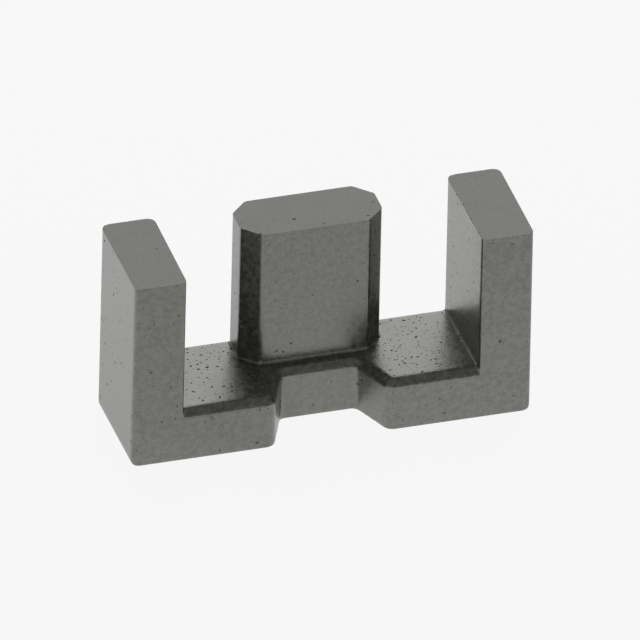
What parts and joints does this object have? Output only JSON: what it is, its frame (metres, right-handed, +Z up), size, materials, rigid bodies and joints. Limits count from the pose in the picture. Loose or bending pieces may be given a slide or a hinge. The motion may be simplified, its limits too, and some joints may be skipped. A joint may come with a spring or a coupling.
{
  "type": "ferrite e core",
  "caption": "Low-profile ferrite E core half with a flat bevelled centre pole, outer legs and a notched back wall, for small transformers and inductors.",
  "frame": {"origin": "on the outer face of the back wall, at the middle of the overall length and depth", "axes": "+X along the length, +Z up the legs to the pole faces, -Y towards the open side of the clip recess"},
  "size_m": [0.015, 0.0046, 0.0076],
  "materials": {
    "ferrite": "as sintered: smooth dark grey with fine pores, pole faces ground matt"
  },
  "bodies": {
    "root": {"core": "ferrite"}
  },
  "joints": []
}
